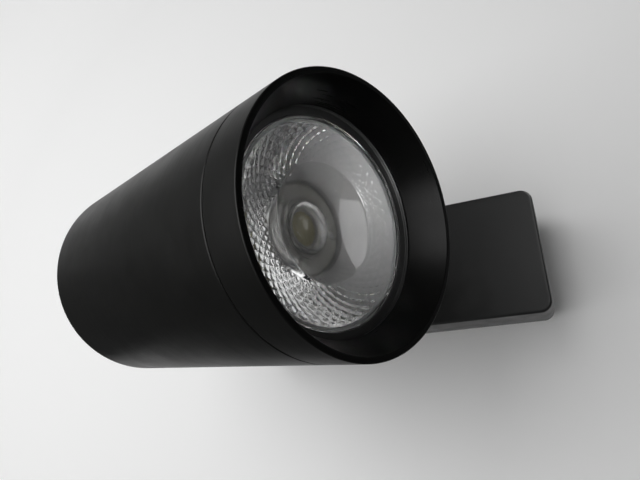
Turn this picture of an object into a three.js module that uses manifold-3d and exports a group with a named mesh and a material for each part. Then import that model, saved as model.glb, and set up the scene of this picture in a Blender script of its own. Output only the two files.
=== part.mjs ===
// Track spotlight: a cylindrical lamp head on a swivel arm, carried by a driver box that locks into a
// single-circuit lighting track. Millimetres, +Z up towards the ceiling. The origin lies on the pan axis in the
// plane where the box seats against the track, and +X runs along the track towards the long end of the box.
import * as THREE from 'three';
import { mergeVertices } from 'three/addons/utils/BufferGeometryUtils.js';
import Module from 'manifold-3d';

const wasm = await Module();
wasm.setup();

// ---- driving dimensions -------------------------------------------------------------------------------------
const GAP = 0.3;              // clearance left between neighbouring pieces
const REST_PAN = 4.7;         // degrees the head is turned from the track's direction
const REST_TILT = 24.0;       // degrees the head dips below level

const BOX_W = 64;             // driver box width at its face
const BOX_H = 32;             // driver box height, face to track seat
const BOX_RIGHT = 153;        // pan axis to the long end
const BOX_LEFT = 33;          // pan axis to the short end
const BOX_DRAFT = 0.8;        // how much each wall leans out from face to seat
const BOX_CORNER = 6;         // corner radius in plan
const BOX_WALL = 2.2;
const COVER_T = 4;

const NECK_W = 13.6;          // rail that enters the track's slot
const NECK_H = 9.5;
const NECK_X0 = 26, NECK_X1 = 128;
const NECK_BASE_W = 34;
const ROTOR_X = 48;           // axis of the rotary lock
const ROTOR_R = 5;
const WING_REACH = 12;
const LEVER_REACH = 34;

const PIVOT_DROP = 79;        // box face to tilt axis
const PIVOT_Z = -(BOX_H + PIVOT_DROP);
const ARM_T = 12;             // thickness of the arm along the tilt axis
const ARM_HALF = 9.5;         // half-width of the arm
const EYE_R = 11;
const HUB_R = 19;
const HUB_T = 4.5;
const STUB_R = 5.2, STUB_BORE = 3.2;

const HEAD_R = 47.5;
const HEAD_LEN = 152;
const PIVOT_FROM_REAR = 40;
const FRONT = HEAD_LEN - PIVOT_FROM_REAR;   // head's own x, 0 at the tilt axis
const REAR = -PIVOT_FROM_REAR;
const SEAM = FRONT - 17.2;    // joint between tube and front ring
const TUBE_IN = 45;
const LIP_R = 45.3;
const CONE_R = 39.9, CONE_DEPTH = 13.4;
const LENS_R = 37.15, LENS_FRONT = FRONT - 15.9, LENS_FLANGE = 2;
const COB_DEPTH = 20;         // lens face to the light-emitting surface
const COB_X = LENS_FRONT - COB_DEPTH;
const BOWL_R = 21.5;          // smooth bowl in the middle of the lens
const SLOT_HALF = 7.2;        // half-width of the slot that the arm swings in
const SLOT_END = 13;
const BOLT_R = 2.9, BOLT_HOLE = 3.2;

// ---- materials ----------------------------------------------------------------------------------------------
const mat = (color, roughness, metalness = 0, extra = {}) =>
  new THREE.MeshStandardMaterial({ color, roughness, metalness, ...extra });
const blackPaint = () => mat(0x111213, 0.45, 0.2);
const blackPlastic = () => mat(0x191a1b, 0.5);
const steel = () => mat(0x9a9c9e, 0.35, 1);
const brass = () => mat(0xc49a4a, 0.35, 1);
const aluminium = () => mat(0xb4b6b8, 0.4, 1);

// ---- geometry helpers ---------------------------------------------------------------------------------------
const rad = THREE.MathUtils.degToRad;

function toSolid(geometry) {
  const g = geometry.clone();
  g.deleteAttribute('normal');
  g.deleteAttribute('uv');
  const m = mergeVertices(g, 1e-5);
  return new wasm.Manifold(new wasm.Mesh({
    numProp: 3,
    vertProperties: new Float32Array(m.attributes.position.array),
    triVerts: new Uint32Array(m.index.array),
  }));
}

function toGeometry(solid) {
  const mesh = solid.getMesh();
  const g = new THREE.BufferGeometry();
  const flat = new Float32Array((mesh.vertProperties.length / mesh.numProp) * 3);
  for (let i = 0; i < flat.length / 3; i++)
    for (let k = 0; k < 3; k++) flat[i * 3 + k] = mesh.vertProperties[i * mesh.numProp + k];
  g.setAttribute('position', new THREE.BufferAttribute(flat, 3));
  g.setIndex(new THREE.BufferAttribute(new Uint32Array(mesh.triVerts), 1));
  g.computeVertexNormals();
  return g;
}

const cut = (base, ...tools) => toGeometry(tools.reduce((s, t) => s.subtract(toSolid(t)), toSolid(base)));
const join = (base, ...more) => toGeometry(more.reduce((s, t) => s.add(toSolid(t)), toSolid(base)));

// a block given by its low and high corners
function block(x0, y0, z0, x1, y1, z1) {
  return new THREE.BoxGeometry(x1 - x0, y1 - y0, z1 - z0).translate((x0 + x1) / 2, (y0 + y1) / 2, (z0 + z1) / 2);
}

// a cylinder along an axis, from a to b on it, centred on the other two coordinates
function rod(axis, r, a, b, c = [0, 0], seg = 32, r2 = r) {
  const g = new THREE.CylinderGeometry(r2, r, b - a, seg);
  if (axis === 'z') return g.rotateX(Math.PI / 2).translate(c[0], c[1], (a + b) / 2);
  if (axis === 'x') return g.rotateZ(-Math.PI / 2).translate((a + b) / 2, c[0], c[1]);
  return g.translate(c[0], (a + b) / 2, c[1]);
}

// a body of revolution about X from [x, r] points, which start and end on the axis or close on themselves
function turned(points, seg = 64) {
  const closes = points[0][1] !== 0;
  const line = points.map(([x, r]) => new THREE.Vector2(r, x));
  if (closes) line.push(line[0].clone());
  let area = 0;
  for (let i = 0; i < line.length; i++) {
    const a = line[i], b = line[(i + 1) % line.length];
    area += a.x * b.y - b.x * a.y;
  }
  if (area < 0) line.reverse();
  return new THREE.LatheGeometry(line, seg).rotateZ(-Math.PI / 2);
}

function turnedZ(points, seg = 48, x = 0, y = 0) {
  return turned(points, seg).rotateY(-Math.PI / 2).translate(x, y, 0);
}

function roundedRect(x0, y0, x1, y1, r) {
  const s = new THREE.Shape();
  s.moveTo(x0 + r, y0);
  s.lineTo(x1 - r, y0);
  s.absarc(x1 - r, y0 + r, r, -Math.PI / 2, 0);
  s.lineTo(x1, y1 - r);
  s.absarc(x1 - r, y1 - r, r, 0, Math.PI / 2);
  s.lineTo(x0 + r, y1);
  s.absarc(x0 + r, y1 - r, r, Math.PI / 2, Math.PI);
  s.lineTo(x0, y0 + r);
  s.absarc(x0 + r, y0 + r, r, Math.PI, Math.PI * 1.5);
  return s;
}

function slab(shape, z0, z1, bevel = 0, curveSegments = 3, bevelSteps = 1) {
  const g = new THREE.ExtrudeGeometry(shape, {
    depth: z1 - z0 - 2 * bevel, curveSegments,
    bevelEnabled: bevel > 0, bevelThickness: bevel, bevelSize: bevel, bevelOffset: -bevel, bevelSegments: bevelSteps,
  });
  return g.translate(0, 0, z0 + bevel);
}

// leans the walls of a body out by BOX_DRAFT from the box's face to its seat
function draft(geometry) {
  const p = geometry.attributes.position;
  const cx = (BOX_RIGHT - BOX_LEFT) / 2, hx = (BOX_RIGHT + BOX_LEFT) / 2, hy = BOX_W / 2;
  for (let i = 0; i < p.count; i++) {
    const lean = (BOX_DRAFT * (p.getZ(i) + BOX_H)) / BOX_H;
    p.setX(i, cx + ((p.getX(i) - cx) * (hx + lean)) / hx);
    p.setY(i, (p.getY(i) * (hy + lean)) / hy);
  }
  return geometry;
}

const fixture = new THREE.Group();
fixture.name = 'track_spotlight';
const swivel = new THREE.Group();      // turns about the pan axis
swivel.rotation.z = rad(REST_PAN);
const head = new THREE.Group();        // tips about the tilt axis, in the head's own frame
head.position.z = PIVOT_Z;
head.rotation.y = rad(REST_TILT);
swivel.add(head);
fixture.add(swivel);

function piece(parent, name, geometry, material) {
  const mesh = new THREE.Mesh(geometry, material);
  mesh.name = name;
  parent.add(mesh);
  return mesh;
}

// ---- driver box ---------------------------------------------------------------------------------------------
const coverLow = -COVER_T;
{
  const outline = roundedRect(-BOX_LEFT, -BOX_W / 2, BOX_RIGHT, BOX_W / 2, BOX_CORNER);
  const inner = roundedRect(-BOX_LEFT + BOX_WALL, -BOX_W / 2 + BOX_WALL, BOX_RIGHT - BOX_WALL, BOX_W / 2 - BOX_WALL, BOX_CORNER - BOX_WALL);
  const shell = draft(slab(outline, -BOX_H, 4, 1, 4, 2));
  const hollow = draft(slab(inner, -BOX_H + 2.5, 6, 0, 3));
  const top = block(-60, -60, coverLow - GAP, 200, 60, 20);
  let housing = toSolid(shell).subtract(toSolid(top)).subtract(toSolid(hollow));
  // corner posts for the cover screws, and posts for the circuit board
  for (const [x, y] of coverScrews()) housing = housing.add(toSolid(rod('z', 4.2, -BOX_H + 2, coverLow - GAP - 2.2, [x, y], 14)));
  for (const [x, y] of boardPosts()) housing = housing.add(toSolid(rod('z', 3.2, -BOX_H + 2, -26.2, [x, y], 12)));
  // the stop that limits the turn of the arm
  housing = housing.add(toSolid(block(-18.5, -1.3, -BOX_H + 2, -13.5, 1.3, -23.6)));
  for (const [x, y] of coverScrews()) housing = housing.subtract(toSolid(rod('z', 1.6, -26, coverLow, [x, y], 8)));
  for (const [x, y] of boardPosts().slice(0, 2)) housing = housing.subtract(toSolid(rod('z', 1.6, -29, -20, [x, y], 8)));
  housing = housing.subtract(toSolid(rod('z', 8.3, -BOX_H - 1, -20, [0, 0], 28)));
  piece(fixture, 'driver_housing', toGeometry(housing), blackPlastic());

  // cover: a plate with the housing's outline, a locating skirt, a cut-out for the neck's foot and the lever's sector
  const lid = toSolid(draft(slab(outline, coverLow, 3, 0, 4))).subtract(toSolid(block(-60, -60, 0, 200, 60, 20)));
  const skirtOut = draft(slab(roundedRect(-BOX_LEFT + BOX_WALL + GAP, -BOX_W / 2 + BOX_WALL + GAP, BOX_RIGHT - BOX_WALL - GAP, BOX_W / 2 - BOX_WALL - GAP, 3.4), coverLow - 2, coverLow + 1, 0, 2));
  const skirtIn = draft(slab(roundedRect(-BOX_LEFT + BOX_WALL + GAP + 1.6, -BOX_W / 2 + BOX_WALL + GAP + 1.6, BOX_RIGHT - BOX_WALL - GAP - 1.6, BOX_W / 2 - BOX_WALL - GAP - 1.6, 2), coverLow - 3, coverLow, 0, 2));
  let cover = lid.add(toSolid(skirtOut).subtract(toSolid(skirtIn)));
  cover = cover.subtract(toSolid(slab(roundedRect(NECK_X0 - 6, -NECK_BASE_W / 2, NECK_X1 + 6, NECK_BASE_W / 2, 4), -12, 6, 0, 3)));
  cover = cover.subtract(toSolid(slab(sector(ROTOR_X, 0, LEVER_REACH + 1.4, -162, -18), -3.3, 6, 0, 6)));
  for (const [x, y] of coverScrews()) {
    cover = cover.subtract(toSolid(rod('z', 1.9, -12, 4, [x, y], 12)));
    cover = cover.subtract(toSolid(rod('z', 3.3, -2.2, 4, [x, y], 16)));
  }
  piece(fixture, 'driver_cover', toGeometry(cover), blackPlastic());

  coverScrews().forEach(([x, y], i) => {
    piece(fixture, `cover_screw_${i + 1}`, screw(3.0, 1.5, 9, 1.3).translate(x, y, -0.4), steel());
  });
}

function coverScrews() {
  const x0 = -BOX_LEFT + 6.8, x1 = BOX_RIGHT - 6.8, y = BOX_W / 2 - 6.8;
  return [[x0, -y], [x0, y], [x1, -y], [x1, y]];
}
function boardPosts() {
  return [[30, -22], [136, 22], [30, 22], [136, -22]];
}

// a slotted screw along -Z whose head's top is at z = 0
function screw(headR, headT, length, shankR, seg = 12) {
  const body = turnedZ([[0, 0], [0, headR - 0.4], [-0.4, headR], [-headT, headR], [-headT, shankR], [-length, shankR], [-length, 0]], seg);
  return cut(body, block(-headR * 0.7, -0.35, -0.7, headR * 0.7, 0.35, 1));
}

// a circle sector in plan
function sector(cx, cy, r, a0, a1) {
  const s = new THREE.Shape();
  s.moveTo(cx, cy);
  s.lineTo(cx + r * Math.cos(rad(a0)), cy + r * Math.sin(rad(a0)));
  s.absarc(cx, cy, r, rad(a0), rad(a1), false);
  s.lineTo(cx, cy);
  return s;
}

// ---- track neck, its rotary lock and its contacts -----------------------------------------------------------
{
  const footTop = -0.4;
  const foot = slab(roundedRect(NECK_X0 - 6 + GAP, -NECK_BASE_W / 2 + GAP, NECK_X1 + 6 - GAP, NECK_BASE_W / 2 - GAP, 3.7), coverLow, footTop, 0, 3);
  const rail = slab(roundedRect(NECK_X0, -NECK_W / 2, NECK_X1, NECK_W / 2, 2), -1, NECK_H, 0.8, 3);
  let neck = toSolid(foot).add(toSolid(rail));
  neck = neck.subtract(toSolid(rod('z', WING_REACH + 1.2, 4.4, 20, [ROTOR_X, 0], 28)));           // room for the wings
  neck = neck.subtract(toSolid(slab(sector(ROTOR_X, 0, LEVER_REACH + 1.4, -162, -18), -3.3, -0.4, 0, 6)));  // lever's sector
  neck = neck.subtract(toSolid(rod('z', 9.0, -3.3, -0.4, [ROTOR_X, 0], 24)));                       // lever's boss
  neck = neck.subtract(toSolid(rod('z', ROTOR_R + GAP, -12, 20, [ROTOR_X, 0], 24)));
  neck = neck.subtract(toSolid(block(94, NECK_W / 2 - 2.6, 2.2, 112, NECK_W / 2 + 2, 7.2)));        // earth contact's pocket
  piece(fixture, 'track_neck', toGeometry(neck), blackPlastic());

  // lock: a rotor whose wings catch behind the track's lips, with one line contact at each wing's tip
  const shaft = rod('z', ROTOR_R, -3.9, 8.6, [ROTOR_X, 0], 24);
  const wing = slab(roundedRect(ROTOR_X - 4, -WING_REACH + 1.9, ROTOR_X + 4, WING_REACH - 1.9, 2.5), 4.9, 7.9, 0.5, 2);
  const drive = block(ROTOR_X - 1, -4, 7.4, ROTOR_X + 1, 4, 12);
  let rotor = toSolid(shaft).add(toSolid(wing)).subtract(toSolid(drive));
  // square lower end that keys the lever
  rotor = rotor.subtract(toSolid(block(ROTOR_X - 8, 3.6, -6, ROTOR_X + 8, 9, -0.5))).subtract(toSolid(block(ROTOR_X - 8, -9, -6, ROTOR_X + 8, -3.6, -0.5)));
  piece(fixture, 'lock_rotor', toGeometry(rotor), mat(0x202224, 0.5));

  const leverAt = -135;
  const bar = slab(roundedRect(0, -3.6, LEVER_REACH, 3.6, 3.4), -2.9, -0.9, 0, 4);
  const boss = rod('z', 7.8, -2.9, -0.9, [0, 0], 24);
  const tab = slab(roundedRect(LEVER_REACH - 9, -3.4, LEVER_REACH - 6.4, 3.4, 1.2), -1.2, 3.6, 0.4, 2);
  const turnedBack = join(bar, boss, tab).rotateZ(rad(leverAt)).translate(ROTOR_X, 0, 0);
  const key = new THREE.BoxGeometry(2 * (ROTOR_R + GAP), 7.8, 6).translate(ROTOR_X, 0, -2);
  piece(fixture, 'lock_lever', cut(turnedBack, toGeometry(toSolid(rod('z', ROTOR_R + GAP, -6, 3, [ROTOR_X, 0], 24)).intersect(toSolid(key)))), mat(0x8b1d18, 0.5));

  for (const [name, s] of [['contact_live', 1], ['contact_neutral', -1]]) {
    const shape = roundedRect(-3, 0, 3, 1.5, 0.7);
    const blade = slab(shape, 5.4, 7.4, 0, 2);
    const g = blade.translate(0, WING_REACH - 1.9 + GAP, 0);
    if (s < 0) g.rotateZ(Math.PI);
    piece(fixture, name, g.translate(ROTOR_X, 0, 0), brass());
  }

  // sprung earth strip in the side of the rail
  const strip = join(
    block(95, NECK_W / 2 - 1.2, 2.8, 111, NECK_W / 2 - 0.2, 6.6),
    rod('x', 2.2, 99, 107, [NECK_W / 2 - 1.0, 4.7], 20),
  );
  const trimmed = cut(strip, block(90, NECK_W / 2 - 9, -2, 115, NECK_W / 2 - 1.2, 12));
  piece(fixture, 'earth_contact', trimmed, brass());
}

// ---- driver electronics -------------------------------------------------------------------------------------
{
  const top = -24.2;
  let board = toSolid(slab(roundedRect(25, -27, 142, 27, 2), -25.8, top, 0, 1));
  for (const [x, y] of boardPosts()) board = board.subtract(toSolid(rod('z', 1.7, -30, -20, [x, y], 10)));
  piece(fixture, 'driver_pcb', toGeometry(board), mat(0x1f5a34, 0.5));
  boardPosts().slice(0, 2).forEach(([x, y], i) =>
    piece(fixture, `pcb_screw_${i + 1}`, screw(2.8, 1.6, 4.6, 1.3).translate(x, y, top + GAP + 1.6), steel()));

  const z = top + GAP;
  // transformer: winding block between the two halves of its core
  piece(fixture, 'transformer', join(
    block(70, -12, z + 1.5, 96, 12, z + 14.5),
    block(73, -14.5, z, 93, 14.5, z + 16),
    block(68.5, -8, z, 97.5, 8, z + 3)), mat(0x2a2a2c, 0.7));
  piece(fixture, 'choke', turnedZ([[z, 4], [z, 9], [z + 7.5, 9.6], [z + 8, 9], [z + 8, 4]], 24, 57, 12), mat(0xa05a2c, 0.45));
  piece(fixture, 'input_capacitor', join(rod('x', 7, 104, 124, [-13, z + 7.2], 20), rod('x', 6.4, 103.2, 104.4, [-13, z + 7.2], 20)), mat(0x20242c, 0.4));
  piece(fixture, 'output_capacitor', rod('z', 5, z, z + 13, [118, 12], 18), mat(0x20242c, 0.4));
  let terminal = toSolid(block(34, -16, z, 46, 4, z + 9.5));
  for (const y of [-12.5, -6, 0.5]) terminal = terminal.subtract(toSolid(rod('z', 2, z + 3, z + 12, [40, y], 10))).subtract(toSolid(block(30, y - 1.6, z + 1.2, 37, y + 1.6, z + 4.4)));
  piece(fixture, 'terminal_block', toGeometry(terminal), mat(0x3f7a4a, 0.5));
}

// ---- swivel -------------------------------------------------------------------------------------------------
piece(fixture, 'pan_bush', turnedZ([[-BOX_H, STUB_R + GAP], [-BOX_H, 8], [-29.2, 8], [-29.2, 13], [-27.9, 13], [-27.9, STUB_R + GAP]], 28), mat(0xd9d6cc, 0.5));
{
  const faceZ = -BOX_H - GAP;
  // side outline of the arm in x and z, from the hub down to the eye
  const s = new THREE.Shape();
  const h = ARM_HALF, w = 13.5, zt = faceZ - 1;
  s.moveTo(-w, zt);
  s.lineTo(-w, zt - 4);
  s.quadraticCurveTo(-h, zt - 7, -h, zt - 15);
  s.lineTo(-h, PIVOT_Z + 9);
  s.lineTo(-EYE_R * Math.cos(rad(25)), PIVOT_Z + EYE_R * Math.sin(rad(25)));
  s.absarc(0, PIVOT_Z, EYE_R, rad(155), rad(385), false);
  s.lineTo(h, PIVOT_Z + 9);
  s.lineTo(h, zt - 15);
  s.quadraticCurveTo(h, zt - 7, w, zt - 4);
  s.lineTo(w, zt);
  s.lineTo(-w, zt);
  const leg = new THREE.ExtrudeGeometry(s, { depth: ARM_T - 2, curveSegments: 7, bevelEnabled: true, bevelThickness: 1, bevelSize: 1, bevelOffset: -1, bevelSegments: 1 })
    .translate(0, 0, -(ARM_T - 2) / 2).rotateX(Math.PI / 2);
  const disc = turnedZ([[faceZ, 0], [faceZ, HUB_R], [faceZ - HUB_T + 1.2, HUB_R], [faceZ - HUB_T, HUB_R - 1.2], [faceZ - HUB_T, 0]], 40);
  const stub = rod('z', STUB_R, faceZ - 1, -19, [0, 0], 24);
  let arm = toSolid(leg).add(toSolid(disc)).add(toSolid(stub));
  arm = arm.subtract(toSolid(rod('z', STUB_BORE, faceZ - 22, -10, [0, 0], 16)));
  arm = arm.subtract(toSolid(rod('x', 2.6, -30, 0, [0, faceZ - 20], 12)));       // where the lead comes out
  arm = arm.subtract(toSolid(rod('y', BOLT_HOLE, -20, 20, [0, PIVOT_Z], 24)));
  piece(swivel, 'swivel_arm', toGeometry(arm), blackPaint());

  // washer with the stop tab, and the thin nut that holds the swivel
  const ring = turnedZ([[-27.6, STUB_R + GAP], [-27.6, 11], [-26.2, 11], [-26.2, STUB_R + GAP]], 24);
  const tabW = block(9.5, -1.3, -27.6, 18.5, 1.3, -26.2);
  piece(swivel, 'pan_stop_washer', join(ring, tabW), steel());
  const hex = new THREE.CylinderGeometry(10, 10, 4, 6).rotateX(Math.PI / 2).translate(0, 0, -23.9);
  piece(swivel, 'pan_nut', cut(hex, rod('z', STUB_R + GAP, -40, 0, [0, 0], 24)), steel());
}

// ---- head: shell --------------------------------------------------------------------------------------------
{
  let tube = toSolid(turned([
    [REAR, TUBE_IN], [REAR, HEAD_R - 0.3], [REAR + 0.3, HEAD_R], [SEAM - GAP / 2 - 0.6, HEAD_R], [SEAM - GAP / 2, HEAD_R - 0.6], [SEAM - GAP / 2, TUBE_IN],
  ], 52));
  for (const a of [90 + 60, 270, 30]) {
    const y = 41.6 * Math.cos(rad(a)), z = 41.6 * Math.sin(rad(a));
    const post = toSolid(rod('x', 4, REAR + 3.1, REAR + 15, [y, z], 16)).intersect(toSolid(rod('x', TUBE_IN + 0.6, REAR, REAR + 20, [0, 0], 52)));
    tube = tube.add(post);
  }
  for (const a of [90 + 60, 270, 30]) tube = tube.subtract(toSolid(rod('x', 1.7, REAR - 2, REAR + 12, [39.2 * Math.cos(rad(a)), 39.2 * Math.sin(rad(a))], 12)));
  // slot for the arm along the top of the tube
  const slot = slotPlan(REAR - 5, SLOT_END, SLOT_HALF, 30, 60);
  piece(head, 'head_tube', toGeometry(tube.subtract(toSolid(slot))), blackPaint());

  const cap = toSolid(turned([[REAR, 0], [REAR, 44.4], [REAR + 0.3, 44.7], [REAR + 2.8, 44.7], [REAR + 2.8, 0]], 52));
  let rear = cap.subtract(toSolid(endSlot()));
  rearScrews().forEach(([y, z]) => {
    rear = rear.subtract(toSolid(rod('x', 1.9, REAR - 2, REAR + 6, [y, z], 14))).subtract(toSolid(rod('x', 3.2, REAR - 2, REAR + 1.5, [y, z], 20)));
  });
  piece(head, 'rear_cap', toGeometry(rear), blackPaint());
  rearScrews().forEach(([y, z], i) =>
    piece(head, `rear_cap_screw_${i + 1}`, screw(2.8, 1.2, 9, 1.4).rotateY(-Math.PI / 2).translate(REAR + 0.1, y, z), steel()));

  piece(head, 'front_ring', turned([
    [SEAM + GAP / 2, HEAD_R - 0.6], [SEAM + GAP / 2 + 0.6, HEAD_R], [FRONT - 0.4, HEAD_R], [FRONT, HEAD_R - 0.4], [FRONT, LIP_R + 0.4],
    [FRONT - 0.4, LIP_R], [FRONT - CONE_DEPTH, CONE_R], [FRONT - CONE_DEPTH - 0.7, CONE_R + 0.2], [FRONT - CONE_DEPTH - 1, CONE_R + 0.8],
    [FRONT - CONE_DEPTH - 1, 42.6], [86, 42.6], [86, 44.7], [SEAM + GAP / 2, 44.7],
  ], 52), blackPaint());
}

function rearScrews() {
  return [150, 270, 30].map((a) => [39.2 * Math.cos(rad(a)), 39.2 * Math.sin(rad(a))]);
}

// a slot with a round front end, cut down through the top of the tube
function slotPlan(x0, x1, half, z0, z1) {
  const s = new THREE.Shape();
  s.moveTo(x0, -half);
  s.lineTo(x1 - half, -half);
  s.absarc(x1 - half, 0, half, -Math.PI / 2, Math.PI / 2, false);
  s.lineTo(x0, half);
  s.lineTo(x0, -half);
  return slab(s, z0, z1, 0, 6);
}

// the same slot continued down the rear cap, to just past its middle
function endSlot() {
  return join(block(REAR - 5, -SLOT_HALF, -5, REAR + 8, SLOT_HALF, 60), rod('x', SLOT_HALF, REAR - 5, REAR + 8, [0, -5.5], 20));
}

// ---- head: light engine -------------------------------------------------------------------------------------
{
  const f = LENS_FRONT;
  piece(head, 'lens', turned([
    [f - 6.8, 0], [f - 6.4, 5.5], [f - 5.3, 10.5], [f - 3.4, 15.5], [f - 1.2, 19.7], [f, BOWL_R], [f, LENS_R - 0.3], [f - 0.3, LENS_R], [f - LENS_FLANGE, LENS_R],
    [f - LENS_FLANGE, 34.9], [f - 8, 29.4], [f - 14, 20], [COB_X + 1.3, 12.4], [COB_X + 1.3, 11], [f - 13.7, 9.4], [f - 12.8, 5], [f - 12.5, 0],
  ], 44), mat(0xe8eef0, 0.05, 0, { transparent: true, opacity: 0.35 }));

  const seat = f - LENS_FLANGE;      // back of the lens's flange
  piece(head, 'lens_gasket', turned([[seat - GAP, 35.4], [seat - GAP, 37.0], [seat - GAP - 0.6, 37.0], [seat - GAP - 0.6, 35.4]], 36), mat(0xb9bcbc, 0.7));
  piece(head, 'lens_holder', turned([
    [f + 0.9, 40.6], [f + 1.2, 40.9], [f + 1.2, 42.3], [seat - 3.5, 42.3], [seat - 3.5, 38.0], [f - 9.4, 32.4], [f - 15.4, 23.2], [f - 17.8, 20.8], [COB_X - 2.6, 20.8],
    [COB_X - 2.6, 18.8], [f - 17.2, 18.8], [f - 14.3, 21.2], [f - 8.3, 30.5], [seat - 1.4, 35.6], [seat - 1.2, 37.45], [f - 0.1, 37.45], [f - 0.1, 40.6],
  ], 36), mat(0x101112, 0.5));

  let cobHolder = toSolid(turned([[COB_X - 2.6, 10.4], [COB_X - 2.6, 18.1], [COB_X - 0.6, 18.1], [COB_X + 0.2, 17.4], [COB_X + 0.8, 12.4], [COB_X + 0.2, 10.4]], 28));
  cobHolder = cobHolder.subtract(toSolid(block(COB_X - 9, -11.3, -11.3, COB_X - 0.5, 11.3, 11.3)));
  for (const s of [-1, 1]) cobHolder = cobHolder.subtract(toSolid(rod('x', 1.3, COB_X - 9, COB_X + 5, [0, s * 14.6], 10))).subtract(toSolid(rod('x', 2.0, COB_X - 0.9, COB_X + 5, [0, s * 14.6], 12)));
  piece(head, 'cob_holder', toGeometry(cobHolder), mat(0xe4e3df, 0.5));
  for (const [i, s] of [[1, -1], [2, 1]])
    piece(head, `cob_holder_screw_${i}`, screw(1.7, 0.9, 7, 1.0).rotateY(Math.PI / 2).translate(COB_X + 0.35, 0, s * 14.6), steel());

  piece(head, 'cob_board', block(COB_X - 2.0, -11, -11, COB_X - 0.8, 11, 11), mat(0xd8d8d4, 0.4, 0.6));
  piece(head, 'cob_phosphor', rod('x', 9.6, COB_X - 0.5, COB_X + 0.1, [0, 0], 28), mat(0xb59a55, 0.6));
  piece(head, 'thermal_pad', block(COB_X - 2.7, -11, -11, COB_X - 2.3, 11, 11), mat(0x8f9296, 0.8));

  // heat sink: a face plate, a core and radial fins
  const face = COB_X - 3.0, sinkEnd = 17;
  const fins = new THREE.Shape();
  const n = 20, core = 21.5, tip = 43.6, half = 1.1;
  for (let i = 0; i < n; i++) {
    const a = (i * 2 * Math.PI) / n + Math.PI / n;
    const u = [Math.cos(a), Math.sin(a)], v = [-Math.sin(a), Math.cos(a)];
    const at = (r, w) => [u[0] * r + v[0] * w, u[1] * r + v[1] * w];
    const pts = [at(core, -half), at(tip, -half * 0.8), at(tip, half * 0.8), at(core, half)];
    pts.forEach(([x, y], k) => (i === 0 && k === 0 ? fins.moveTo(x, y) : fins.lineTo(x, y)));
  }
  fins.closePath();
  const finBody = new THREE.ExtrudeGeometry(fins, { depth: face - 4 - sinkEnd, bevelEnabled: false }).rotateZ(Math.PI / 2).rotateY(Math.PI / 2).translate(sinkEnd, 0, 0);
  const facePlate = turned([[face - 5.5, 0], [face - 5.5, 44.2], [face, 44.2], [face, 0]], 44);
  let sink = toSolid(finBody).add(toSolid(facePlate));
  for (const s of [-1, 1]) {
    sink = sink.subtract(toSolid(rod('x', 1.3, face - 8, face + 2, [0, s * 14.6], 10)));
    sink = sink.subtract(toSolid(rod('x', 2.1, sinkEnd - 2, sinkEnd + 10, [s * 16.5, 0], 12)));
  }
  piece(head, 'heat_sink', toGeometry(sink), aluminium());
}

// ---- head: tilt joint ---------------------------------------------------------------------------------------
{
  const ear = ARM_T / 2 + 3 * GAP + 0.8 - 0.3;      // inner face of each ear
  const earT = 3, baseX = 17 - GAP - 3;
  const side = new THREE.Shape();
  side.moveTo(baseX, -9);
  side.lineTo(baseX, 9);
  side.absarc(-1, 0, 9, Math.PI / 2, Math.PI * 1.5, false);
  side.lineTo(baseX, -9);
  const earAt = (y0) => new THREE.ExtrudeGeometry(side, { depth: earT, bevelEnabled: false, curveSegments: 6 }).rotateX(Math.PI / 2).translate(0, y0 + earT, 0);
  let bracket = toSolid(earAt(ear)).add(toSolid(earAt(-ear - earT))).add(toSolid(slab(roundedRect(-9, -21, 9, 21, 3), 0, 3, 0, 2).rotateY(Math.PI / 2).translate(baseX, 0, 0)));
  bracket = bracket.subtract(toSolid(rod('y', BOLT_HOLE, -30, 30, [0, 0], 24)));
  for (const s of [-1, 1]) bracket = bracket.subtract(toSolid(rod('x', 2.4, baseX - 4, baseX + 8, [s * 16.5, 0], 12)));
  piece(head, 'pivot_bracket', toGeometry(bracket), steel());
  for (const [i, s] of [[1, -1], [2, 1]])
    piece(head, `bracket_screw_${i}`, screw(3.4, 2.2, 12.5, 1.8).rotateY(-Math.PI / 2).translate(baseX - GAP - 2.2, s * 16.5, 0), steel());

  for (const [name, s] of [['tilt_washer_left', 1], ['tilt_washer_right', -1]]) {
    const g = turned([[0, BOLT_HOLE], [0, 7.5], [0.8, 7.5], [0.8, BOLT_HOLE]], 20).rotateZ(Math.PI / 2);
    piece(head, name, s > 0 ? g.translate(0, ARM_T / 2 + GAP, 0) : g.translate(0, -ARM_T / 2 - GAP - 0.8, 0), mat(0x3a3c3f, 0.6));
  }
  const out = ear + earT + GAP;
  const boltHead = new THREE.CylinderGeometry(5.6, 5.6, 3.8, 6).translate(0, -out - 1.9, 0);
  const shank = new THREE.CylinderGeometry(BOLT_R, BOLT_R, 2 * out + 6.5, 24).translate(0, 3.2, 0);
  piece(head, 'tilt_bolt', join(boltHead, shank), steel());
  piece(head, 'tilt_nut', cut(new THREE.CylinderGeometry(5.6, 5.6, 5, 6).translate(0, out + 2.5, 0), rod('y', BOLT_HOLE, 0, 40, [0, 0], 24)), steel());
}

export default fixture;
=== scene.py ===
import math
import bpy
import bmesh
from mathutils import Matrix, Vector


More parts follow.
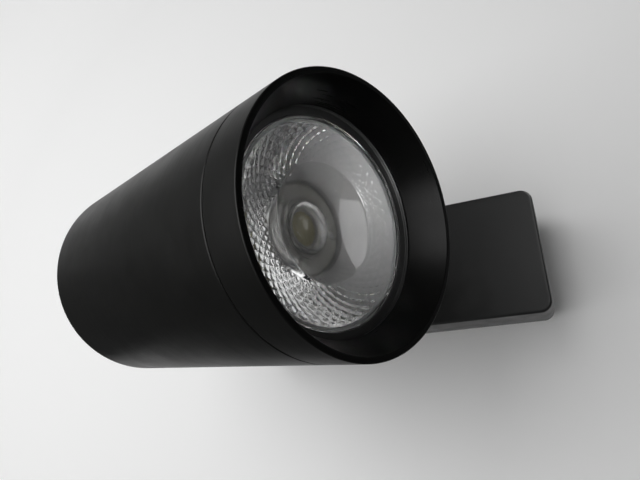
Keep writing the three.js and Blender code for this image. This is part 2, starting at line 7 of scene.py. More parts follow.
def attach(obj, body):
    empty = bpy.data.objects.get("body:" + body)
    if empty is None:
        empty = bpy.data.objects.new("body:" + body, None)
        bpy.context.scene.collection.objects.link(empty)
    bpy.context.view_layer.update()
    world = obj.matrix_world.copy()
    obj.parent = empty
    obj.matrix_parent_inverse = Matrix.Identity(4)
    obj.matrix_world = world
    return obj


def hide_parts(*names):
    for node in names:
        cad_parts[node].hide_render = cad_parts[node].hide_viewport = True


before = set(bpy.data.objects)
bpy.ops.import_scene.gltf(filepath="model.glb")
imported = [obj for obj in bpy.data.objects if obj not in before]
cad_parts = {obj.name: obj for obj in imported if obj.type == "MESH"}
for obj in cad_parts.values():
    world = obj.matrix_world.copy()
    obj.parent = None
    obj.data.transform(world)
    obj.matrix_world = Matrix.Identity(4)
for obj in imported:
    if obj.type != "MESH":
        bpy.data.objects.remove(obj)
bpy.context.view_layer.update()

# ---------------------------------------------------------------- dimensions, in mm, as in the CAD frame
PAN, TILT = math.radians(4.7), math.radians(24.0)
PIVOT_Z = -111.0
ARM_M = Matrix.Rotation(PAN, 4, "Z")
HEAD_M = Matrix.Translation((0, 0, PIVOT_Z)) @ ARM_M @ Matrix.Rotation(TILT, 4, "Y")
BOX_H, BOX_W, BOX_L, BOX_R = 32.0, 64.0, -33.0, 153.0
FRONT, REAR, HEAD_R, TUBE_IN = 112.0, -40.0, 47.5, 45.0
SEAM, GAP = 94.8, 0.3
F = 96.1                       # front plane of the lens
LENS_R = 37.15
BOWL_R = 21.5
FACET = 0.19                   # depth of the facets on the lens's back
COB_X = 76.1
NECK_X0, NECK_X1, NECK_W, NECK_H, ROTOR_X = 26.0, 128.0, 13.6, 9.5, 48.0

WORLD_DIM = 0.08

# ---------------------------------------------------------------- camera
cam_data = bpy.data.cameras.new("camera")
cam_data.lens, cam_data.sensor_width, cam_data.sensor_fit = 28.907, 36.0, "HORIZONTAL"
cam_data.clip_start, cam_data.clip_end = 0.01, 50.0
cam = bpy.data.objects.new("camera", cam_data)
bpy.context.scene.collection.objects.link(cam)
right = Vector((0.91068594, 0.06502796, 0.40802296))
down = Vector((-0.17620483, 0.95442893, 0.24115108))
ahead = Vector((-0.37376243, -0.29150852, 0.88057281))
m = Matrix.Identity(4)
for i in range(3):
    m[i][0], m[i][1], m[i][2] = right[i], -down[i], -ahead[i]
m[0][3], m[1][3], m[2][3] = 0.1487337, 0.0639467, -0.3030485
cam.matrix_world = m
bpy.context.scene.camera = cam


# ---------------------------------------------------------------- mesh helpers (millimetres until piece() scales them)
def mesh_of(verts, faces, name="m"):
    me = bpy.data.meshes.new(name)
    me.from_pydata([tuple(v) for v in verts], [], faces)
    bm = bmesh.new()
    bm.from_mesh(me)
    bmesh.ops.remove_doubles(bm, verts=bm.verts, dist=1e-5)
    bmesh.ops.recalc_face_normals(bm, faces=bm.faces)
    bm.to_mesh(me)
    bm.free()
    return me


def rounded(points, closed=True, n=5):
    """Points (a, b[, radius]) as (a, b), with an arc of n steps at each corner that has a radius."""
    out, count = [], len(points)
    for i, p in enumerate(points):
        r = p[2] if len(p) > 2 else 0
        if r <= 0 or (not closed and i in (0, count - 1)):
            out.append((p[0], p[1]))
            continue
        a, b, c = (Vector(points[k % count][:2]) for k in (i - 1, i, i + 1))
        u, v = a - b, c - b
        lu, lv = u.length, v.length
        u.normalize()
        v.normalize()
        ang = math.acos(max(-1.0, min(1.0, u.dot(v))))
        if ang > math.pi - 1e-3:
            out.append((p[0], p[1]))
            continue
        d = min(r / math.tan(ang / 2), lu * 0.49, lv * 0.49)
        r = d * math.tan(ang / 2)
        cen = b + (u + v).normalized() * (r / math.sin(ang / 2))
        p0, p1 = b + u * d - cen, b + v * d - cen
        a0, a1 = math.atan2(p0.y, p0.x), math.atan2(p1.y, p1.x)
        da = (a1 - a0 + math.pi) % (2 * math.pi) - math.pi
        out += [(cen.x + r * math.cos(a0 + da * k / n), cen.y + r * math.sin(a0 + da * k / n)) for k in range(n + 1)]
    return out


def lathe(points, seg=128, axis="x", at=(0, 0), closed=None):
    """A body turned about X, Y or Z from (position on it, radius) points, which start and end on the axis or close on themselves."""
    closed = points[0][1] > 1e-6 if closed is None else closed
    verts, rings = [], []
    for a, r in points:
        if r < 1e-6:
            rings.append([len(verts)])
            verts.append((a, 0.0, 0.0))
        else:
            rings.append(list(range(len(verts), len(verts) + seg)))
            verts += [(a, r * math.cos(2 * math.pi * k / seg), r * math.sin(2 * math.pi * k / seg)) for k in range(seg)]
    faces = []
    for i in range(len(rings) if closed else len(rings) - 1):
        p, q = rings[i], rings[(i + 1) % len(rings)]
        for k in range(seg):
            k2 = (k + 1) % seg
            if len(p) == 1 and len(q) == 1:
                break
            if len(p) == 1:
                faces.append((p[0], q[k2], q[k]))
            elif len(q) == 1:
                faces.append((p[k], p[k2], q[0]))
            else:
                faces.append((p[k], p[k2], q[k2], q[k]))
    if axis == "z":
        verts = [(y + at[0], z + at[1], a) for a, y, z in verts]
    elif axis == "y":
        verts = [(z + at[0], a, y + at[1]) for a, y, z in verts]
    else:
        verts = [(a, y + at[0], z + at[1]) for a, y, z in verts]
    return mesh_of(verts, faces)


def rod(axis, r, a, b, at=(0, 0), seg=48, e=0.0):
    pts = [(a, 0), (a, r, e), (b, r, e), (b, 0)] if e else [(a, 0), (a, r), (b, r), (b, 0)]
    return lathe(rounded(pts, False, 4) if e else pts, seg, axis, at, False)


def loft(sections, cap=True):
    verts, faces = [], []
    n = len(sections[0])
    for s in sections:
        verts += s
    for i in range(len(sections) - 1):
        for k in range(n):
            k2 = (k + 1) % n
            faces.append((i * n + k, i * n + k2, (i + 1) * n + k2, (i + 1) * n + k))
    if cap:
        faces.append(tuple(range(n - 1, -1, -1)))
        faces.append(tuple(range((len(sections) - 1) * n, len(sections) * n)))
    return mesh_of(verts, faces)


def rrect(x0, y0, x1, y1, r, n=8):
    out = []
    for cx, cy, a0 in ((x1 - r, y0 + r, -90), (x1 - r, y1 - r, 0), (x0 + r, y1 - r, 90), (x0 + r, y0 + r, 180)):
        out += [(cx + r * math.cos(math.radians(a0 + 90 * k / n)), cy + r * math.sin(math.radians(a0 + 90 * k / n))) for k in range(n + 1)]
    return out


def slab(x0, y0, x1, y1, r, z0, z1, e=0.3, n=8, steps=3, draft=None):
    """A rounded plate between two heights, with its edges rounded by e."""
    def ring(i, z):
        pts = rrect(x0 + i, y0 + i, x1 - i, y1 - i, max(r - i, 0.05), n)
        return [draft(x, y, z) if draft else Vector((x, y, z)) for x, y in pts]
    sec = []
    if e > 0:
        sec += [ring(e * 2, z0)]
        sec += [ring(e * (1 - math.sin(t)), z0 + e * (1 - math.cos(t))) for t in (math.pi / 2 * k / steps for k in range(steps + 1))]
        sec += [ring(e * (1 - math.cos(t)), z1 - e + e * math.sin(t)) for t in (math.pi / 2 * k / steps for k in range(steps + 1))]
        sec += [ring(e * 2, z1)]
    else:
        sec = [ring(0, z0), ring(0, z1)]
    return loft(sec)


def prism(outline, a, b, axis="z"):
    def put(u, v, w):
        return (u, v, w) if axis == "z" else ((u, w, v) if axis == "y" else (w, u, v))
    n = len(outline)
    verts = [put(u, v, a) for u, v in outline] + [put(u, v, b) for u, v in outline]
    faces = [tuple(range(n - 1, -1, -1)), tuple(range(n, 2 * n))]
    faces += [(k, (k + 1) % n, n + (k + 1) % n, n + k) for k in range(n)]
    return mesh_of(verts, faces)


def block(x0, y0, z0, x1, y1, z1):
    return prism([(x0, y0), (x1, y0), (x1, y1), (x0, y1)], z0, z1)


def moved(me, matrix):
    me.transform(matrix)
    return me


def _temp(me):
    ob = bpy.data.objects.new("tmp", me)
    bpy.context.scene.collection.objects.link(ob)
    return ob


def boolean(base, tools, op="DIFFERENCE"):
    """base cut by, or joined with, each tool in turn."""
    for tool in tools:
        a, b = _temp(base), _temp(tool)
        mod = a.modifiers.new("b", "BOOLEAN")
        mod.operation, mod.object, mod.solver = op, b, "EXACT"
        dg = bpy.context.evaluated_depsgraph_get()
        out = bpy.data.meshes.new_from_object(a.evaluated_get(dg))
        bpy.data.objects.remove(a)
        bpy.data.objects.remove(b)
        base = out
    return base


def cut(base, *tools):
    return boolean(base, tools, "DIFFERENCE")


def union(base, *tools):
    return boolean(base, tools, "UNION")


def together(*meshes):
    """Several separate closed bodies as one mesh."""
    bm = bmesh.new()
    for me in meshes:
        bm.from_mesh(me)
    out = bpy.data.meshes.new("m")
    bm.to_mesh(out)
    bm.free()
    return out


def eased(me, width, angle=40, steps=2, where=None):
    """Rounds the edges sharper than an angle."""
    bm = bmesh.new()
    bm.from_mesh(me)
    bmesh.ops.remove_doubles(bm, verts=bm.verts, dist=1e-4)
    bmesh.ops.dissolve_degenerate(bm, edges=bm.edges, dist=1e-4)
    edges = [e for e in bm.edges if len(e.link_faces) == 2 and e.calc_face_angle(0) > math.radians(angle)
             and (where is None or all(where(v.co) for v in e.verts))]
    bmesh.ops.bevel(bm, geom=edges, offset=width, segments=steps, profile=0.5, affect="EDGES", clamp_overlap=True)
    bmesh.ops.recalc_face_normals(bm, faces=bm.faces)
    bm.to_mesh(me)
    bm.free()
    return me


PIECES = {}


def piece(name, me, body, slot, replaces=(), matrix=None, sharp=38, weighted=True, material=None):
    if matrix is not None:
        me.transform(matrix)
    me.transform(Matrix.Scale(0.001, 4))
    me.name = name
    ob = bpy.data.objects.new(name, me)
    bpy.context.scene.collection.objects.link(ob)
    me.shade_smooth()
    me.set_sharp_from_angle(angle=math.radians(sharp))
    me.materials.clear()
    me.materials.append(material or M[slot])
    if weighted:
        w = ob.modifiers.new("normals", "WEIGHTED_NORMAL")
        w.keep_sharp, w.weight = True, 60
    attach(ob, body)
    if replaces:
        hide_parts(*replaces)
    PIECES[name] = ob
    return ob


# ---------------------------------------------------------------- materials
class Mat:
    """A small wrapper round a node material."""

    def __init__(self, name):
        self.m = bpy.data.materials.new(name)
        self.m.use_nodes = True
        self.t = self.m.node_tree
        self.b = self.t.nodes["Principled BSDF"]
        self.out = self.t.nodes["Material Output"]
        self.coord = self.t.nodes.new("ShaderNodeTexCoord").outputs["Object"]

    def node(self, kind, **values):
        n = self.t.nodes.new(kind)
        for k, v in values.items():
            setattr(n, k, v)
        return n

    def link(self, a, b):
        self.t.links.new(a, b)

    def set(self, **values):
        for k, v in values.items():
            self.b.inputs[k.replace("_", " ")].default_value = v
        return self

    def head_frame(self):
        """Coordinates along the head: X is its axis."""
        inv = HEAD_M.inverted()
        n = self.node("ShaderNodeMapping", vector_type="POINT")
        n.inputs["Rotation"].default_value = inv.to_euler("XYZ")
        n.inputs["Location"].default_value = inv.to_translation() * 0.001
        self.link(self.coord, n.inputs["Vector"])
        self.coord = n.outputs["Vector"]
        return self

    def stretch(self, x=1, y=1, z=1):
        n = self.node("ShaderNodeMapping", vector_type="POINT")
        n.inputs["Scale"].default_value = (x, y, z)
        self.link(self.coord, n.inputs["Vector"])
        return n.outputs["Vector"]

    def noise(self, size_mm, detail=3.0, rough=0.55, coord=None, distortion=0.0):
        n = self.node("ShaderNodeTexNoise")
        n.inputs["Scale"].default_value = 1000.0 / size_mm
        n.inputs["Detail"].default_value = detail
        n.inputs["Roughness"].default_value = rough
        n.inputs["Distortion"].default_value = distortion
        self.link(coord or self.coord, n.inputs["Vector"])
        return n.outputs["Fac"]

    def voronoi(self, size_mm, feature="F1", coord=None, out="Distance"):
        n = self.node("ShaderNodeTexVoronoi", feature=feature)
        n.inputs["Scale"].default_value = 1000.0 / size_mm
        self.link(coord or self.coord, n.inputs["Vector"])
        return n.outputs[out]

    def remap(self, fac, a, b, c, d):
        n = self.node("ShaderNodeMapRange")
        for i, v in enumerate((a, b, c, d)):
            n.inputs[i + 1].default_value = v
        self.link(fac, n.inputs[0])
        return n.outputs[0]

    def math(self, op, a, b=None):
        n = self.node("ShaderNodeMath", operation=op)
        for i, v in enumerate((a, b)):
            if v is None:
                continue
            if isinstance(v, (int, float)):
                n.inputs[i].default_value = v
            else:
                self.link(v, n.inputs[i])
        return n.outputs[0]

    def mix(self, fac, a, b):
        n = self.node("ShaderNodeMix", data_type="RGBA")
        for sock, v in ((n.inputs[0], fac), (n.inputs[6], a), (n.inputs[7], b)):
            if isinstance(v, (int, float)):
                sock.default_value = v
            elif isinstance(v, tuple):
                sock.default_value = (*v, 1.0)
            else:
                self.link(v, sock)
        return n.outputs[2]

    def color(self, v):
        self.link(v, self.b.inputs["Base Color"])
        return self

    def rough(self, v):
        self.link(v, self.b.inputs["Roughness"])
        return self

    def bump(self, height, strength=0.3, distance_mm=0.05):
        n = self.node("ShaderNodeBump")
        n.inputs["Strength"].default_value = strength
        n.inputs["Distance"].default_value = distance_mm * 0.001
        self.link(height, n.inputs["Height"])
        prev = getattr(self, "_bump", None)
        if prev is not None:
            self.link(prev, n.inputs["Normal"])
        self._bump = n.outputs["Normal"]
        self.link(self._bump, self.b.inputs["Normal"])
        return self


def grainy(name, dark, light, rough, spread, grain_mm, bump, distance_mm, mottle_mm=14.0, metallic=0.0, spec=0.5, specks=0.0):
    """A finish of two close tones in soft mottle, with a fine grain in its relief and gloss, and a few light specks."""
    k = Mat(name)
    k.set(Metallic=metallic)
    k.b.inputs["Specular IOR Level"].default_value = spec
    tone = k.remap(k.noise(mottle_mm, 4), 0.3, 0.7, 0.0, 1.0)
    col = k.mix(tone, dark, light)
    if specks:
        near = k.voronoi(6.5)
        dot = k.math("LESS_THAN", near, 0.016)
        pick = k.math("GREATER_THAN", k.noise(9.0, 1), 0.55)
        col = k.mix(k.math("MULTIPLY", k.math("MULTIPLY", dot, pick), specks), col, (0.32, 0.32, 0.31))
    k.color(col)
    fine = k.noise(grain_mm, 2)
    k.rough(k.math("ADD", k.remap(k.noise(mottle_mm * 0.6, 3), 0.3, 0.7, rough - spread, rough + spread), k.remap(fine, 0.3, 0.7, -spread * 0.5, spread * 0.5)))
    k.bump(fine, bump, distance_mm)
    return k


M = {}


def turned_black(name, dark, light, rough, specks):
    """Satin black coating over turned metal: faint rings round the head's axis under a fine grain."""
    k = Mat(name).head_frame()
    k.b.inputs["Specular IOR Level"].default_value = 0.28
    tone = k.remap(k.noise(22.0, 4), 0.32, 0.68, 0.0, 1.0)
    col = k.mix(tone, dark, light)
    near = k.voronoi(7.0)
    dot = k.math("LESS_THAN", near, 0.013)
    pick = k.math("GREATER_THAN", k.noise(9.0, 1), 0.58)
    col = k.mix(k.math("MULTIPLY", k.math("MULTIPLY", dot, pick), specks), col, (0.30, 0.30, 0.29))
    k.color(col)
    rings = k.noise(1.0, 3, coord=k.stretch(3.2, 0.02, 0.02))
    grain = k.noise(0.32, 2)
    k.rough(k.math("ADD", k.remap(k.noise(16.0, 4), 0.3, 0.7, rough - 0.035, rough + 0.035), k.remap(rings, 0.3, 0.7, -0.03, 0.03)))
    k.bump(rings, 0.10, 0.012)
    k.bump(grain, 0.16, 0.02)
    return k


M["black_coat"] = turned_black("black_coat", (0.0030, 0.0030, 0.0027), (0.0046, 0.0046, 0.0041), 0.40, 0.7).m
k = turned_black("black_cone", (0.0030, 0.0031, 0.0030), (0.0046, 0.0047, 0.0045), 0.31, 0.5)
k.b.inputs["Specular IOR Level"].default_value = 0.17
M["black_cone"] = k.m
M["black_plastic"] = grainy("black_plastic", (0.0065, 0.0067, 0.0066), (0.0095, 0.0097, 0.0096), 0.37, 0.05, 0.45, 0.35, 0.03, 18.0, specks=0.5).m
M["red_plastic"] = grainy("red_plastic", (0.27, 0.018, 0.015), (0.36, 0.030, 0.024), 0.42, 0.06, 0.5, 0.2, 0.02, 8.0).m
M["natural_plastic"] = grainy("natural_plastic", (0.40, 0.395, 0.37), (0.48, 0.475, 0.45), 0.45, 0.06, 0.6, 0.15, 0.02, 7.0).m
M["green_plastic"] = grainy("green_plastic", (0.035, 0.22, 0.09), (0.05, 0.29, 0.12), 0.42, 0.06, 0.5, 0.2, 0.02, 6.0).m
M["friction_washer"] = grainy("friction_washer", (0.04, 0.04, 0.043), (0.075, 0.075, 0.08), 0.62, 0.08, 0.3, 0.5, 0.03, 2.0).m
M["grey_silicone"] = grainy("grey_silicone", (0.38, 0.39, 0.39), (0.48, 0.49, 0.49), 0.68, 0.06, 0.4, 0.25, 0.02, 5.0).m
M["dark_winding"] = grainy("dark_winding", (0.035, 0.03, 0.026), (0.065, 0.056, 0.048), 0.6, 0.08, 0.35, 0.5, 0.04, 3.0).m
M["capacitor_sleeve"] = grainy("capacitor_sleeve", (0.02, 0.024, 0.045), (0.032, 0.037, 0.062), 0.26, 0.05, 0.8, 0.12, 0.02, 6.0).m


M["cup_inside"] = grainy("cup_inside", (0.47, 0.465, 0.475), (0.54, 0.535, 0.545), 0.38, 0.06, 0.8, 0.15, 0.02, 9.0).m


def brushed(name, dark, light, rough, axis, fine=0.35):
    k = Mat(name)
    k.set(Metallic=1.0)
    s = {"x": (0.06, 1, 1), "y": (1, 0.06, 1), "z": (1, 1, 0.06), "": (1, 1, 1)}[axis]
    lines = k.noise(fine, 3, coord=k.stretch(*s))
    k.color(k.mix(k.remap(lines, 0.3, 0.7, 0.0, 1.0), dark, light))
    k.rough(k.math("ADD", k.remap(k.noise(3.0, 4), 0.3, 0.7, rough - 0.07, rough + 0.07), k.remap(lines, 0.3, 0.7, -0.04, 0.04)))
    k.bump(lines, 0.22, 0.012)
    return k


M["screw_steel"] = brushed("screw_steel", (0.34, 0.345, 0.35), (0.52, 0.52, 0.525), 0.32, "").m
M["brass"] = brushed("brass", (0.62, 0.42, 0.15), (0.80, 0.58, 0.25), 0.27, "x").m
M["bare_aluminium"] = brushed("bare_aluminium", (0.58, 0.59, 0.60), (0.74, 0.745, 0.75), 0.34, "x", 0.5).m

k = Mat("copper_winding").set(Metallic=1.0)
k.color(k.mix(k.remap(k.noise(2.2, 3), 0.3, 0.7, 0.0, 1.0), (0.50, 0.17, 0.06), (0.70, 0.30, 0.12)))
k.rough(k.remap(k.noise(0.8, 3), 0.3, 0.7, 0.2, 0.34))
k.bump(k.noise(0.5, 2), 0.15, 0.01)
M["copper_winding"] = k.m

k = Mat("phosphor").head_frame()
k.set(Roughness=0.45)
k.b.inputs["Coat Weight"].default_value = 0.35
k.b.inputs["Coat Roughness"].default_value = 0.12
dies = k.voronoi(1.7, "F1")
col = k.mix(k.remap(k.noise(3.0, 3), 0.3, 0.7, 0.0, 1.0), (0.46, 0.42, 0.22), (0.56, 0.51, 0.28))
k.color(k.mix(k.remap(dies, 0.15, 0.5, 0.28, 0.0), col, (0.30, 0.25, 0.10)))
k.rough(k.remap(k.noise(1.5, 2), 0.3, 0.7, 0.34, 0.5))
k.bump(k.noise(0.5, 2), 0.2, 0.02)
M["phosphor"] = k.m

k = Mat("circuit_board")
k.b.inputs["Coat Weight"].default_value = 0.5
k.b.inputs["Coat Roughness"].default_value = 0.2
br = k.node("ShaderNodeTexBrick")
br.offset = 0.5
br.inputs["Scale"].default_value = 1000 / 9.0
br.inputs["Mortar Size"].default_value = 0.035
br.inputs["Mortar Smooth"].default_value = 0.1
br.inputs["Color1"].default_value = (0.0, 0.0, 0.0, 1)
br.inputs["Color2"].default_value = (0.0, 0.0, 0.0, 1)
br.inputs["Mortar"].default_value = (1.0, 1.0, 1.0, 1)
k.link(k.coord, br.inputs["Vector"])
track = k.math("MULTIPLY", br.outputs["Color"], k.math("GREATER_THAN", k.noise(16.0, 1), 0.47))
base = k.mix(k.remap(k.noise(9.0, 3), 0.3, 0.7, 0.0, 1.0), (0.018, 0.105, 0.042), (0.026, 0.135, 0.056))
base = k.mix(track, base, (0.06, 0.235, 0.09))
pads = k.math("LESS_THAN", k.voronoi(5.2), 0.13)
k.color(k.mix(pads, base, (0.55, 0.55, 0.52)))
k.rough(k.remap(k.noise(4.0, 3), 0.3, 0.7, 0.34, 0.48))
k.bump(k.math("ADD", track, k.math("MULTIPLY", pads, 2.0)), 0.5, 0.05)
M["circuit_board"] = k.m

k = Mat("clear_lens").head_frame()
k.set(IOR=1.49, Roughness=0.02)
k.b.inputs["Transmission Weight"].default_value = 1.0
k.color(k.mix(k.remap(k.noise(20.0, 2), 0.3, 0.7, 0.0, 1.0), (0.955, 0.965, 0.955), (0.985, 0.99, 0.985)))
k.rough(k.remap(k.noise(5.0, 5), 0.35, 0.75, 0.012, 0.05))
M["clear_lens"] = k.m

k = Mat("satin_lens").head_frame()
k.set(IOR=1.49)
k.b.inputs["Transmission Weight"].default_value = 1.0
k.color(k.mix(k.remap(k.noise(9.0, 3), 0.3, 0.7, 0.0, 1.0), (0.80, 0.795, 0.775), (0.85, 0.845, 0.83)))
k.rough(k.remap(k.noise(4.0, 4), 0.3, 0.75, 0.15, 0.21))
k.b.inputs["Coat Weight"].default_value = 1.0
k.b.inputs["Coat Roughness"].default_value = 0.03
k.b.inputs["Coat IOR"].default_value = 1.9
k.bump(k.noise(0.6, 2), 0.08, 0.02)
M["satin_lens"] = k.m

# ---------------------------------------------------------------- head, in its own frame along X

def head_piece(name, me, slot, replaces, **kw):
    return piece(name, me, "head", slot, replaces, matrix=HEAD_M, **kw)


tube = lathe(rounded([(REAR, TUBE_IN, 0.3), (REAR, HEAD_R, 0.5), (SEAM - GAP / 2, HEAD_R, 0.6), (SEAM - GAP / 2, TUBE_IN, 0.3)], True, 5), 256)
screw_at = [(39.2 * math.cos(math.radians(a)), 39.2 * math.sin(math.radians(a))) for a in (150, 270, 30)]
for a in (150, 270, 30):
    y, z = 41.6 * math.cos(math.radians(a)), 41.6 * math.sin(math.radians(a))
    post = boolean(rod("x", 4, REAR + 3.1, REAR + 15, (y, z), 40), [rod("x", TUBE_IN + 0.6, REAR, REAR + 20, (0, 0), 128)], "INTERSECT")
    tube = union(tube, post)
for y, z in screw_at:
    tube = cut(tube, rod("x", 1.7, REAR - 2, REAR + 12, (y, z), 24))
slot_outline = [(REAR - 5, -7.2), (13 - 7.2, -7.2)] + [(13 - 7.2 + 7.2 * math.sin(t), -7.2 * math.cos(t)) for t in (math.pi * k / 24 for k in range(1, 24))] + [(13 - 7.2, 7.2), (REAR - 5, 7.2)]
tube = cut(tube, prism(slot_outline, 30, 60))
tube = eased(tube, 0.45, 50, 3, lambda c: c.z > 40 and abs(c.y) < 7.6 and c.x < 13.5)
head_piece("turned_tube", tube, "black_coat", ["head_tube"])

cap = lathe(rounded([(REAR, 0), (REAR, 44.7, 0.5), (REAR + 2.8, 44.7, 0.3), (REAR + 2.8, 0)], False, 4), 192, closed=False)
cap = cut(cap, union(block(REAR - 5, -7.2, -5.5, REAR + 8, 7.2, 60), rod("x", 7.2, REAR - 5, REAR + 8, (0, -5.5), 64)))
for y, z in screw_at:
    cap = cut(cap, rod("x", 1.9, REAR - 2, REAR + 6, (y, z), 32), rod("x", 3.2, REAR - 2, REAR + 1.5, (y, z), 48))
cap = eased(cap, 0.22, 50, 2, lambda c: c.x < REAR + 2.9)
back_pieces = [head_piece("rear_plate", cap, "black_coat", ["rear_cap"])]

ring = lathe(rounded([
    (SEAM + GAP / 2, HEAD_R, 0.6), (FRONT, HEAD_R, 0.45), (FRONT, 45.35, 0.35), (FRONT - 13.4, 39.9, 0.25), (FRONT - 14.0, 40.05, 0.15),
    (FRONT - 14.4, 40.7, 0.2), (FRONT - 14.4, 42.6), (86, 42.6, 0.2), (86, 44.7, 0.3), (SEAM + GAP / 2, 44.7),
], True, 5), 320)
hood = head_piece("turned_ring", ring, "black_cone", ["front_ring"])
hood.data.materials.append(M["black_coat"])
inv = HEAD_M.inverted()
for f in hood.data.polygons:
    c, n = inv @ (f.center * 1000), inv.to_3x3() @ f.normal
    if math.hypot(c.y, c.z) > 46.0 and n.y * c.y + n.z * c.z > 15.0:
        f.material_index = 1


# lens: a clear front with a conical well and a small domed centre; the reflecting back carries rows of crossed facets
def lens_mesh():
    fine, coarse = 720, 240
    around, rows = 48, 12
    front = [(F - 5.9 + 4.5 * (r / 21.2) ** 2, r) for r in (21.2 * k / 26 for k in range(27))]
    front += [(F - 1.3, 21.32), (F - 0.9, 21.48), (F - 0.4, 21.62), (F - 0.1, 21.74), (F, 21.95), (F, 22.3)]
    front += [(F - 0.26 * t * t, 22.3 + (35.5 - 22.3) * t) for t in (k / 10 for k in range(1, 11))]
    front += [(F - 0.4, 35.65), (F - 0.4, 35.9), (F - 0.08, 36.1), (F, 36.3), (F, 36.85), (F - 0.1, 37.05), (F - 0.3, LENS_R), (F - 1.85, LENS_R), (F - 2.0, 37.0), (F - 2.0, 35.8)]
    track = rounded([(2.3, 35.3), (8.0, 29.6, 60), (14.0, 20.2, 80), (18.4, 12.9)], False, 14)
    length = [0.0]
    for p, q in zip(track, track[1:]):
        length.append(length[-1] + math.dist(p, q))

    def along(t):
        d = t * length[-1]
        for i in range(len(track) - 1):
            if d <= length[i + 1] or i == len(track) - 2:
                u = (d - length[i]) / (length[i + 1] - length[i])
                return [track[i][j] + (track[i + 1][j] - track[i][j]) * u for j in (0, 1)]

    rings = [(coarse, x, r, None) for x, r in front] + [(coarse, F - 2.1, 35.5, None)]
    steps = rows * 8
    for i in range(steps + 1):
        d, r = along(i / steps)
        rings.append((fine, F - d, r, i / steps))
    rings += [(coarse, F - d, r, None) for d, r in [(18.65, 12.6), (18.75, 12.4), (18.75, 11.2), (18.6, 11.0), (17.4, 10.6), (16.0, 10.2), (14.4, 9.8), (13.7, 9.4), (13.2, 8.6), (12.6, 7.2), (12.0, 5.4), (11.6, 3.6), (11.4, 1.8)]]
    verts, ids = [], []

    def relief(t, th):
        u, v = around * th / (2 * math.pi), t * rows
        p, q = (u + v / 2) % 1.0, (u - v / 2) % 1.0
        edge = max(0.0, min(1.0, t * 14, (1 - t) * 14))
        return edge * (1 - (2 * p - 1) ** 2) * (1 - (2 * q - 1) ** 2)

    for n, x, r, t in rings:
        if r < 1e-6:
            ids.append([len(verts)])
            verts.append((x, 0.0, 0.0))
            continue
        ids.append(list(range(len(verts), len(verts) + n)))
        for k in range(n):
            th = 2 * math.pi * k / n
            u = max(0.0, min(1.0, (r - 19.5) / 2.0))
            dent = 0.0 if t is None else FACET * u * u * (3 - 2 * u) * (0.35 + 0.65 * r / 35.0) * (1 - relief(t, th))
            verts.append((x + dent * 0.6, (r - dent * 0.8) * math.cos(th), (r - dent * 0.8) * math.sin(th)))
    ids.append([len(verts)])
    verts.append((F - 11.35, 0.0, 0.0))
    faces = []
    for p, q in zip(ids, ids[1:]):
        if len(p) == 1:
            faces += [(p[0], q[(k + 1) % len(q)], q[k]) for k in range(len(q))]
        elif len(q) == 1:
            faces += [(p[k], p[(k + 1) % len(p)], q[0]) for k in range(len(p))]
        elif len(p) == len(q):
            n = len(p)
            faces += [(p[k], p[(k + 1) % n], q[(k + 1) % n], q[k]) for k in range(n)]
        else:
            small, big = (p, q) if len(p) < len(q) else (q, p)
            ratio, n = len(big) // len(small), len(small)
            for k in range(n):
                b = [big[(k * ratio + j) % len(big)] for j in range(ratio + 1)]
                a, c = small[k], small[(k + 1) % n]
                mid = ratio // 2
                faces += [(a, b[j], b[j + 1]) for j in range(mid)]
                faces.append((a, b[mid], c))
                faces += [(c, b[j], b[j + 1]) for j in range(mid, ratio)]
    return mesh_of(verts, faces)


lens = head_piece("moulded_lens", lens_mesh(), "clear_lens", ["lens"], sharp=60, weighted=False)
lens.data.materials.append(M["satin_lens"])
inv = HEAD_M.inverted()
for f in lens.data.polygons:
    c = inv @ (f.center * 1000)
    r = math.hypot(c.y, c.z)
    if (c.x > F - 7 and r < BOWL_R - 0.3) or (c.x < F - 10 and r < 12.0):
        f.material_index = 1

seat = F - 2.0
holder = lathe(rounded([
    (F + 1.2, 40.6, 0.3), (F + 1.2, 42.3, 0.3), (seat - 3.5, 42.3), (seat - 3.5, 38.0), (F - 9.4, 32.4), (F - 15.4, 23.2), (F - 17.8, 20.8), (COB_X - 2.6, 20.8),
    (COB_X - 2.6, 18.8), (F - 17.2, 18.8), (F - 14.3, 21.2), (F - 8.3, 30.5), (seat - 1.4, 35.6), (seat - 1.2, 37.45, 0.15), (F - 0.1, 37.45, 0.25), (F - 0.1, 40.6, 0.2),
], True, 4), 192)
cup = head_piece("lens_cup", holder, "black_plastic", ["lens_holder"])
cup.data.materials.append(M["cup_inside"])
inv = HEAD_M.inverted()
for f in cup.data.polygons:
    c = inv @ (f.center * 1000)
    r = math.hypot(c.y, c.z)
    n = inv.to_3x3() @ f.normal
    if c.x < seat - 0.6 and (n.y * c.y + n.z * c.z) / r < 0.1:
        f.material_index = 1

cob = lathe(rounded([(COB_X - 2.6, 10.4), (COB_X - 2.6, 18.1, 0.3), (COB_X - 0.6, 18.1, 0.3), (COB_X + 0.2, 17.4, 0.4), (COB_X + 0.8, 12.4, 0.3), (COB_X + 0.2, 10.4, 0.2)], True, 4), 128)
cob = cut(cob, block(COB_X - 9, -11.3, -11.3, COB_X - 0.5, 11.3, 11.3))
for s in (-1, 1):
    cob = cut(cob, rod("x", 1.3, COB_X - 9, COB_X + 5, (0, s * 14.6), 24), rod("x", 2.0, COB_X - 0.9, COB_X + 5, (0, s * 14.6), 32))
clamp = head_piece("cob_clamp_ring", cob, "natural_plastic", ["cob_holder"])

